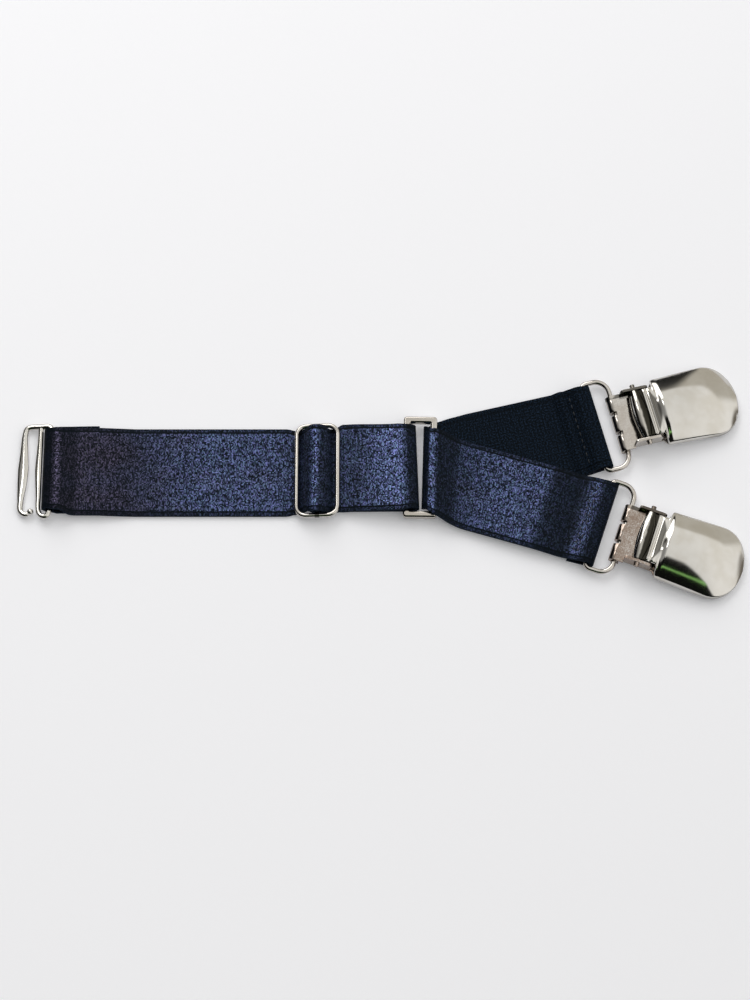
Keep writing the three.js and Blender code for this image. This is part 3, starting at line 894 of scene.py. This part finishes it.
def band_piece(name, stations):
    """A band's middle surface through its stations, with its place and painted light as UV maps."""
    columns = 12
    vertices = []
    places = []
    painted_sheens = []
    run = 0.0
    for i, (centre, across, half, sheen) in enumerate(stations):
        if i:
            run += (centre - stations[i - 1][0]).length
        for j in range(columns + 1):
            t = 2 * j / columns - 1
            vertices.append((centre + across * half * t) * MM + SHIFT)
            places.append((BAND_WIDTH / 2 * (t + 1), run))
            painted_sheens.append((sheen, 0.0))
    piece = mesh_piece(name, vertices, grid_faces(len(stations), columns))
    for map_name, values in (("band", places), ("sheen", painted_sheens)):
        layer = piece.data.uv_layers.new(name=map_name)
        for loop in piece.data.loops:
            layer.data[loop.index].uv = values[loop.vertex_index]
    return piece, run


def thicken(piece, thickness):
    """Gives a band its thickness, with its dull side underneath and its edges all but sharp."""
    solidify = piece.modifiers.new("thickness", "SOLIDIFY")
    solidify.thickness = thickness
    solidify.offset = 0
    solidify.material_offset = 1
    solidify.material_offset_rim = 2
    round_edges(piece, thickness * 0.32, 3, 60)
    smooth_by_angle(piece, 50)


class SUSPENDER_OT_straps(bpy.types.Operator):
    """Weave the main strap and the leg strap"""

    bl_idname = "suspender.straps"
    bl_label = "Straps"

    def execute(self, context):
        settings = context.scene.suspender_strap
        finishes = [satin_elastic(settings), matte_elastic(settings), band_edge(settings)]
        for name, stations in (("main_band", main_stations()), ("leg_band", fork_stations())):
            piece, length = band_piece(name, stations)
            for finish in finishes:
                piece.data.materials.append(finish)
            thicken(piece, settings.thickness)
            finish_piece(piece, "straps", [name.replace("band", "strap")], ())
            rests = ["slider", "junction_ring"] if name == "main_band" else ["junction_ring"]
        return {"FINISHED"}


def station_at(stations, x, rising):
    """The first station past x where the band runs the way asked, with its bright side's normal."""
    for i in range(1, len(stations) - 1):
        centre, across, half, _ = stations[i]
        tangent = stations[i + 1][0] - stations[i - 1][0]
        before = stations[i - 1][0].x
        if (tangent.x > 0) == rising and min(before, centre.x) <= x <= max(before, centre.x):
            return centre, across, half, tangent.cross(across).normalized()
    raise ValueError(f"no station of the band at x = {x}")


def stitch_shape(length, thick):
    """One stitch: a short thread that dips into the band at both ends."""
    clear_selection()
    bpy.ops.mesh.primitive_cylinder_add(vertices=8, radius=thick / 2, depth=length)
    stitch = bpy.context.object
    bpy.ops.object.mode_set(mode="EDIT")
    bpy.ops.mesh.select_all(action="SELECT")
    bpy.ops.mesh.subdivide(number_cuts=3)
    bpy.ops.object.mode_set(mode="OBJECT")
    for vertex in stitch.data.vertices:
        t = 2 * vertex.co.z / length
        taper = math.sqrt(max(1 - 0.75 * t * t, 0))
        vertex.co.x *= taper
        vertex.co.y *= taper
        vertex.co.x -= thick * 0.45 * t * t
    place(stitch, Matrix.Identity(4))
    smooth_by_angle(stitch, 60)
    return stitch


def stitch_row(pattern, name, centre, across, half, normal, pitch):
    """Copies of a stitch in a row across the band, on one of its sides."""
    count = int(2 * (half - SEAM_MARGIN) / pitch)
    copies = []
    side = across.cross(normal).normalized()
    turned = Matrix((normal, side, across)).transposed().to_4x4()
    for i in range(count):
        offset = (i - (count - 1) / 2) * pitch
        spot = (centre + across * offset + normal * STITCH_LIFT) * MM + SHIFT
        copy = copy_of(pattern, name)
        place(copy, Matrix.Translation(spot) @ turned)
        copies.append(copy)
    row = joined(copies)
    row.name = name
    return row


class SUSPENDER_OT_stitches(bpy.types.Operator):
    """Sew the turned-over ends of the bands"""

    bl_idname = "suspender.stitches"
    bl_label = "Stitches"

    def execute(self, context):
        settings = context.scene.suspender_strap
        bright = sewing_thread(settings, "navy_thread", settings.thread)
        dull = sewing_thread(settings, "navy_thread_dull", settings.thread_dull)
        pattern = stitch_shape(settings.stitch, STITCH_THICK * MM)
        pitch = settings.stitch / MM + STITCH_GAP
        main = main_stations()
        forked = fork_stations()
        bend = len(leg_stations(1, UPPER_LEG))
        upper = forked[:bend]
        lower = forked[bend:]
        for name, stations, x, rising, side in (
            ("hook_seam_left", main, -80.7, True, 1),
            ("hook_seam_right", main, -77.4, True, 1),
            ("upper_seam", upper, 55.9, False, -1),
            ("lower_seam_left", lower, 55.2, True, 1),
            ("lower_seam_right", lower, 56.3, True, 1),
        ):
            centre, across, half, normal = station_at(stations, x, rising)
            row = stitch_row(pattern, name, centre, across, half, normal * side, pitch)
            finish = dull if name == "upper_seam" else bright
            finish_piece(row, "straps", (), [finish])
        bpy.data.objects.remove(pattern)
        return {"FINISHED"}


def smooth_curve(rows, turns):
    """Points on a smooth curve through rows, each with its other columns in between."""
    points = [Vector(row[:2]) for row in rows]
    points = [2 * points[0] - points[1]] + points + [2 * points[-1] - points[-2]]
    path = []
    for i in range(1, len(points) - 2):
        p = points[i - 1:i + 3]
        gaps = [max((p[k + 1] - p[k]).length, 1e-6) ** 0.5 for k in range(3)]
        knots = [0, gaps[0], gaps[0] + gaps[1], sum(gaps)]
        for k in range(turns):
            t = knots[1] + (knots[2] - knots[1]) * k / turns
            a = [
                p[n].lerp(p[n + 1], (t - knots[n]) / (knots[n + 1] - knots[n])) for n in range(3)
            ]
            b = [
                a[n].lerp(a[n + 1], (t - knots[n]) / (knots[n + 2] - knots[n])) for n in range(2)
            ]
            spot = b[0].lerp(b[1], (t - knots[1]) / (knots[2] - knots[1]))
            sizes = [u + (v - u) * k / turns for u, v in zip(rows[i - 1][2:], rows[i][2:])]
            path.append((spot, sizes))
    path.append((Vector(rows[-1][:2]), list(rows[-1][2:])))
    return path


def drawn_wire(name, rows, turns=10, sides=24):
    """Wire of changing oval section along a flat route, closed at both ends."""
    path = smooth_curve(rows, turns)
    vertices = []
    for i, (spot, (wide, high)) in enumerate(path):
        before = path[max(i - 1, 0)][0]
        after = path[min(i + 1, len(path) - 1)][0]
        tangent = (after - before).normalized()
        side = Vector((-tangent.y, tangent.x, 0))
        for j in range(sides):
            angle = 2 * math.pi * j / sides
            offset = side * wide * math.cos(angle) + UP * high * math.sin(angle)
            vertices.append((Vector((spot.x, spot.y, 0)) + offset) * MM)
    faces = []
    for i in range(len(path) - 1):
        for j in range(sides):
            a = i * sides + j
            b = i * sides + (j + 1) % sides
            faces.append((a, b, b + sides, a + sides))
    last = (len(path) - 1) * sides
    faces.append(tuple(reversed(range(sides))))
    faces.append(tuple(range(last, last + sides)))
    return mesh_piece(name, vertices, faces)


class SUSPENDER_OT_hook(bpy.types.Operator):
    """Bend the wire hook"""

    bl_idname = "suspender.hook"
    bl_label = "Hook"

    def execute(self, context):
        hook = drawn_wire("hook_wire", HOOK_TONGUE)
        combine(hook, drawn_wire("hook_eye", HOOK_EYE))
        clear_selection()
        bpy.ops.mesh.primitive_uv_sphere_add(
            segments=24, ring_count=16, radius=HOOK_BALL * MM,
            location=Vector((*HOOK_TONGUE[0][:2], 0)) * MM,
        )
        combine(hook, bpy.context.object)
        turned = Matrix.Rotation(-HOOK_TILT, 4, "Y")
        place(hook, Matrix.Translation(SHIFT + HOOK_BAR) @ turned)
        smooth_by_angle(hook, 40)
        finish = nickel_plate(context.scene.suspender_metal, "nickel_wire")
        finish_piece(hook, "hook", ["wire_hook"], [finish])
        return {"FINISHED"}


def wire_frame(name, left, right, half, left_radius, right_radius, wire, sides):
    """A closed frame of round wire, from its outer sizes and its outer corner radii."""
    clear_selection()
    middle = (left + right) / 2
    bpy.ops.mesh.primitive_plane_add(size=1, location=(middle, 0, 0))
    piece = bpy.context.object
    piece.name = name
    piece.scale = (right - left - wire, 2 * half - wire, 1)
    bpy.ops.object.transform_apply(location=True, rotation=False, scale=True)
    bpy.ops.object.mode_set(mode="EDIT")
    bpy.ops.mesh.select_all(action="SELECT")
    bpy.ops.mesh.delete(type="ONLY_FACE")
    bpy.ops.object.mode_set(mode="OBJECT")
    for is_left, radius in ((True, left_radius), (False, right_radius)):
        select_only(piece)
        bpy.ops.object.mode_set(mode="EDIT")
        bpy.ops.mesh.select_mode(type="VERT")
        bpy.ops.mesh.select_all(action="DESELECT")
        bpy.ops.object.mode_set(mode="OBJECT")
        for vertex in piece.data.vertices:
            far = abs(vertex.co.y) > half - wire / 2 - 1e-6
            outer = vertex.co.x < left + wire if is_left else vertex.co.x > right - wire
            vertex.select = far and outer
        bpy.ops.object.mode_set(mode="EDIT")
        bpy.ops.mesh.bevel(offset=radius - wire / 2, segments=10, affect="VERTICES")
        bpy.ops.object.mode_set(mode="OBJECT")
    select_only(piece)
    bpy.ops.object.convert(target="CURVE")
    piece = bpy.context.object
    piece.data.dimensions = "3D"
    piece.data.bevel_depth = wire / 2
    piece.data.bevel_resolution = sides // 4
    bpy.ops.object.convert(target="MESH")
    piece = bpy.context.object
    piece.name = name
    outward(piece)
    return piece


class SUSPENDER_OT_slider(bpy.types.Operator):
    """Make the slider: a rounded wire frame with a bar across its middle"""

    bl_idname = "suspender.slider"
    bl_label = "Slider"

    def execute(self, context):
        metal = context.scene.suspender_metal
        wire = metal.slider_wire
        wide, tall = (size * MM for size in SLIDER_HALF)
        corner = SLIDER_CORNER * MM
        piece = wire_frame(
            "slider_frame", -wide, wide, tall, corner, corner, wire, metal.side_count
        )
        # The bar is a hair thinner than the frame, so that no faces of the two coincide
        combine(piece, round_bar(wire / 2 * 0.98, 2 * tall - wire, metal.side_count))
        turned = Matrix.Rotation(-SLIDER_TILT, 4, "Y")
        map_places(piece)
        place(piece, Matrix.Translation(Vector(SLIDER_MIDDLE) * MM + SHIFT) @ turned)
        smooth_by_angle(piece, 40)
        # The bottom wire's joint gets a painted shadow
        finish = nickel_plate(metal, "nickel_slider", 0.5, 0.25, "joint")
        finish_piece(piece, "straps", ["slider"], [finish])
        return {"FINISHED"}


class SUSPENDER_OT_ring(bpy.types.Operator):
    """Round the edges of the flat bar ring between the straps"""

    bl_idname = "suspender.ring"
    bl_label = "Ring"

    def execute(self, context):
        piece = clean_copy("junction_ring", "ring_frame")
        round_edges(piece, 0.2 * MM, 3, 25)
        smooth_by_angle(piece, 45)
        finish = nickel_plate(context.scene.suspender_metal, "nickel_ring", 1.0, 0.3)
        finish_piece(piece, "straps", ["junction_ring"], [finish])
        return {"FINISHED"}


class SUSPENDER_OT_loops(bpy.types.Operator):
    """Bend the wire loops between the legs and the clips"""

    bl_idname = "suspender.loops"
    bl_label = "Loops"

    def execute(self, context):
        metal = context.scene.suspender_metal
        wire = metal.loop_wire
        reach = LOOP_REACH * MM
        corners = [radius * MM for radius in LOOP_CORNERS]
        pattern = wire_frame(
            "loop_pattern", -reach - wire / 2, wire / 2, LOOP_HALF * MM, *corners, wire,
            metal.side_count,
        )
        finish = nickel_plate(metal, "nickel_loop", 0.5, 0.3)
        for side in SIDES:
            bar = Vector(JOINTS[f"{side}_loop_swing"]["pos_m"])
            level = clip_frame(side, pitched=False)
            swing = Matrix.Rotation(math.asin((bar.z - level.translation.z) / reach), 4, "Y")
            level.translation = bar - level.to_3x3() @ swing.to_3x3() @ Vector((-reach, 0, 0))
            loop = copy_of(pattern, f"{side}_loop_wire")
            place(loop, level @ swing)
            smooth_by_angle(loop, 40)
            finish_piece(loop, f"{side}_loop", [f"{side}_loop"], [finish])
        bpy.data.objects.remove(pattern)
        return {"FINISHED"}


class SUSPENDER_OT_clip_bases(bpy.types.Operator):
    """Finish the clip bases, and soften the ends of their pins"""

    bl_idname = "suspender.clip_bases"
    bl_label = "Clip bases"

    def execute(self, context):
        metal = context.scene.suspender_metal
        for side, brown in zip(SIDES, (0.35, 0.95)):
            # Each base's far ears get painted dark reflections
            finish = nickel_plate(metal, f"nickel_{side}_base", 1.0, brown, "ears")
            level = clip_frame(side).inverted()
            for part, width in (("clip_base", 0.12), ("hinge_pin", 0.15)):
                piece = clean_copy(f"{side}_{part}", f"{side}_{part}_metal")
                # The bevel's own limit on overlaps leaves the edges of a base all but sharp
                round_edges(piece, width * MM, 2, 40)
                smooth_by_angle(piece, 32)
                map_places(piece, level)
                finish_piece(piece, f"{side}_clip", [f"{side}_{part}"], [finish])
        return {"FINISHED"}


def lever_half(x):
    """Half width of the lever's outline, in mm, at a distance from the loop's bar."""
    start, half = LEVER_SIDE[-1]
    if x <= start:
        return row_at(LEVER_SIDE, x)
    t = (x - start) / (LEVER_TIP - start)
    return half * max(1 - t ** LEVER_ROUND, 0) ** (1 / LEVER_ROUND)


def lever_height(x, t):
    """Height of the lever's outside, in mm, at a distance and a share t of the half width."""
    dome = ease((x - 9.7) / 1.6)
    crown = row_at(LEVER_CROWN, x, ease)
    if x > LEVER_FLAT:
        share = (x - LEVER_FLAT) / (LEVER_TIP - LEVER_FLAT)
        crown = LEVER_TOP - LEVER_FALL * share ** LEVER_CURVE
    edge = row_at(LEVER_EDGE, x, ease)
    boxed = edge + (crown - edge) * (1 - abs(t) ** 6) ** 0.4
    bend = math.sin(LEVER_SLOPE)
    fall = (1 - math.sqrt(1 - (bend * t) ** 2)) / (1 - math.cos(LEVER_SLOPE))
    skirt = min(max(abs(t) - 0.96, 0) / 0.04, 1)
    fall = 0.72 * fall + 0.28 * (1 - math.sqrt(1 - skirt ** 2))
    arched = crown - (crown - edge) * fall * min(lever_half(x) / 6, 1)
    return boxed + (arched - boxed) * dome


def cover_piece(sheet):
    """The neck with its pressed line and the domed cover, as one pressed sheet."""
    stops = [7.35, 7.42, 7.5, 7.6, 7.72, 7.85, 7.95, 8.05, 8.15, 8.3, 8.45, 8.55, 8.65, 8.8]
    stops += [9.0, 9.2, 9.4, 9.6, 9.8]
    stops += [10.0 + 3.0 * i / 20 for i in range(20)]
    stops += [13.0 + 12.2 * i / 16 for i in range(16)]
    start = LEVER_SIDE[-1][0]
    length = LEVER_TIP - 0.004 - start
    stops += [start + length * math.sin(math.pi / 2 * i / 20) for i in range(21)]
    columns = 56
    vertices = []
    for x in stops:
        for j in range(columns + 1):
            t = -math.cos(math.pi * j / columns)
            vertices.append(Vector((x, t * lever_half(x), lever_height(x, t))) * MM)
    piece = mesh_piece("cover", vertices, grid_faces(len(stops), columns))
    solidify = piece.modifiers.new("sheet", "SOLIDIFY")
    solidify.thickness = sheet
    solidify.offset = -1
    round_edges(piece, sheet * 0.3, 3, 60)
    return piece


def barrel_piece():
    """The barrel that turns on the pin, fuller in the middle, with a web up to the neck."""
    pin = Matrix.Translation(Vector((PIN_ALONG, 0, PIN_HIGH)) * MM)
    barrel = round_bar(ROLL_RADIUS * MM, 2 * ROLL_HALF * MM, 48)
    bpy.ops.object.mode_set(mode="EDIT")
    for k in range(1, 12):
        level = (2 * ROLL_HALF * k / 12 - ROLL_HALF) * MM
        bpy.ops.mesh.select_all(action="SELECT")
        bpy.ops.mesh.bisect(plane_co=(0, level, 0), plane_no=(0, 1, 0))
    bpy.ops.object.mode_set(mode="OBJECT")
    for vertex in barrel.data.vertices:
        radius = math.hypot(vertex.co.x, vertex.co.z)
        if radius > 1e-5:
            share = vertex.co.y / MM / ROLL_HALF
            bulge = (ROLL_RADIUS - ROLL_TAPER * share ** 2) * MM / radius
            vertex.co.x *= bulge
            vertex.co.z *= bulge
    place(barrel, pin)
    count = len(WEB)
    half = ROLL_HALF - 0.2
    vertices = [Vector((x, y, z)) * MM for y in (-half, half) for x, z in WEB]
    faces = [tuple(range(count)), tuple(reversed(range(count, 2 * count)))]
    for j in range(count):
        k = (j + 1) % count
        faces.append((j, j + count, k + count, k))
    web = mesh_piece("web", vertices, faces)
    outward(web)
    combine(barrel, web)
    bore = round_bar(PIN_BORE * MM, 20 * MM, 32)
    place(bore, pin)
    combine(barrel, bore, "DIFFERENCE")
    return barrel


class SUSPENDER_OT_levers(bpy.types.Operator):
    """Press the levers: a barrel on the pin, a neck and a domed cover"""

    bl_idname = "suspender.levers"
    bl_label = "Levers"

    def execute(self, context):
        metal = context.scene.suspender_metal
        pattern = cover_piece(metal.sheet)
        barrel = barrel_piece()
        for part in (pattern, barrel):
            map_places(part)
        # The cover's valley and rim get painted dark reflections
        pattern.data.materials.append(nickel_plate(metal, "nickel_cover", shaded_part="cover"))
        barrel.data.materials.append(dark_barrel(metal))
        smooth_by_angle(joined([pattern, barrel]), 38)
        for side in SIDES:
            lever = copy_of(pattern, f"{side}_lever_cover")
            place(lever, clip_frame(side))
            finish_piece(lever, f"{side}_lever", [f"{side}_clip_lever"], [])
        bpy.data.objects.remove(pattern)
        return {"FINISHED"}


def add_area(name, aim, direction, distance, size, power):
    """A soft square light that faces its aim."""
    light = bpy.data.lights.new(name, "AREA")
    light.size = size
    light.energy = power
    light.color = LAMP_COLOUR
    lamp = bpy.data.objects.new(name, light)
    bpy.context.scene.collection.objects.link(lamp)
    lamp.location = aim + direction.normalized() * distance
    lamp.rotation_euler = direction.to_track_quat("Z", "Y").to_euler()


def studio_sky(strength):
    """Surroundings: pale above and right, dark left and in front, brown far right, a green line."""
    world = bpy.data.worlds.new("studio")
    bpy.context.scene.world = world
    finish = Finish("studio", world)
    x, y, z = finish.split(finish.add("ShaderNodeTexCoord", {}, out=0))
    reach = 0.14 + (0.95 - z) * 0.85
    front = (reach - x).between(-0.03, 0.03) * (-0.12 - y).between(-0.05, 0.05)
    front = front * (0.965 - z).between(-0.01, 0.01)
    left = (0.12 - x).between(-0.05, 0.05) * (0.54 - z).between(-0.03, 0.03)
    wall = (x - 0.94).between(-0.02, 0.03)
    far = (-0.78 - x).between(-0.05, 0.05)
    low = (0.56 - z).between(-0.03, 0.05) * y.between(0.38, 0.55)
    line = z.near(0.82, 0.024, 0.008) * front * x.between(-0.35, -0.25)
    dark = front.math("MAXIMUM", left).math("MAXIMUM", far)
    colour = finish.mix(x.between(-0.75, 0.05), SKY_LEFT, SKY_MIDDLE)
    for amount, tone in (
        (x.between(0.1, 0.7), SKY_RIGHT), (low, SKY_LOW), (wall, SKY_WALL), (dark, SKY_DARK),
        (line, SKY_GREEN),
    ):
        colour = finish.mix(amount, colour, tone)
    background = finish.add("ShaderNodeBackground", {}, colour, strength)
    finish.add("ShaderNodeOutputWorld", {}, background)


class SUSPENDER_OT_stage(bpy.types.Operator):
    """Set the surface, the camera and the lights"""

    bl_idname = "suspender.stage"
    bl_label = "Stage"

    def execute(self, context):
        stage = context.scene.suspender_stage
        clear_selection()
        bpy.ops.mesh.primitive_grid_add(x_subdivisions=8, y_subdivisions=8, size=6)
        floor = bpy.context.object
        floor.name = "surface"
        floor.data.materials.append(surface_paper(stage))
        aim = AIM * MM + Vector((SHIFT.x, SHIFT.y, 0))
        back = Vector((0, -math.cos(stage.elevation), math.sin(stage.elevation)))
        camera = bpy.data.cameras.new("camera")
        camera.lens = stage.lens
        camera.sensor_width = 36
        viewer = bpy.data.objects.new("camera", camera)
        context.scene.collection.objects.link(viewer)
        viewer.location = aim + back * stage.distance
        viewer.rotation_euler = (math.pi / 2 - stage.elevation, 0, 0)
        context.scene.camera = viewer
        add_area("key_light", aim, KEY_SIDE, 1.1, 0.8, stage.key_power)
        add_area("lamp", aim, LAMP_SIDE, 1.0, 0.16, stage.lamp_power)
        studio_sky(stage.sky)
        context.scene.view_settings.view_transform = "Standard"
        return {"FINISHED"}


class SUSPENDER_PT_panel(bpy.types.Panel):
    """The pieces of the suspender"""

    bl_label = "Sock suspender"
    bl_idname = "SUSPENDER_PT_panel"
    bl_space_type = "VIEW_3D"
    bl_region_type = "UI"
    bl_category = "Suspender"

    def draw(self, context):
        scene = context.scene
        for group in (scene.suspender_strap, scene.suspender_metal, scene.suspender_stage):
            box = self.layout.box()
            for key in group.__annotations__:
                box.prop(group, key)
        for operator in OPERATORS:
            self.layout.operator(operator.bl_idname)


OPERATORS = (
    SUSPENDER_OT_straps,
    SUSPENDER_OT_stitches,
    SUSPENDER_OT_hook,
    SUSPENDER_OT_slider,
    SUSPENDER_OT_ring,
    SUSPENDER_OT_loops,
    SUSPENDER_OT_clip_bases,
    SUSPENDER_OT_levers,
    SUSPENDER_OT_stage,
)
GROUPS = {
    "suspender_strap": StrapSettings,
    "suspender_metal": MetalSettings,
    "suspender_stage": StageSettings,
}


def register():
    """Adds the settings, the operators and the panel."""
    for name, group in GROUPS.items():
        bpy.utils.register_class(group)
        setattr(bpy.types.Scene, name, PointerProperty(type=group))
    for operator in OPERATORS:
        bpy.utils.register_class(operator)
    bpy.utils.register_class(SUSPENDER_PT_panel)


def unregister():
    """Takes them away again."""
    bpy.utils.unregister_class(SUSPENDER_PT_panel)
    for operator in reversed(OPERATORS):
        bpy.utils.unregister_class(operator)
    for name, group in GROUPS.items():
        delattr(bpy.types.Scene, name)
        bpy.utils.unregister_class(group)


def main():
    """Makes every piece in order."""
    register()
    for operator in OPERATORS:
        group, name = operator.bl_idname.split(".")
        getattr(getattr(bpy.ops, group), name)()
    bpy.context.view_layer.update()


if __name__ == "__main__":
    main()
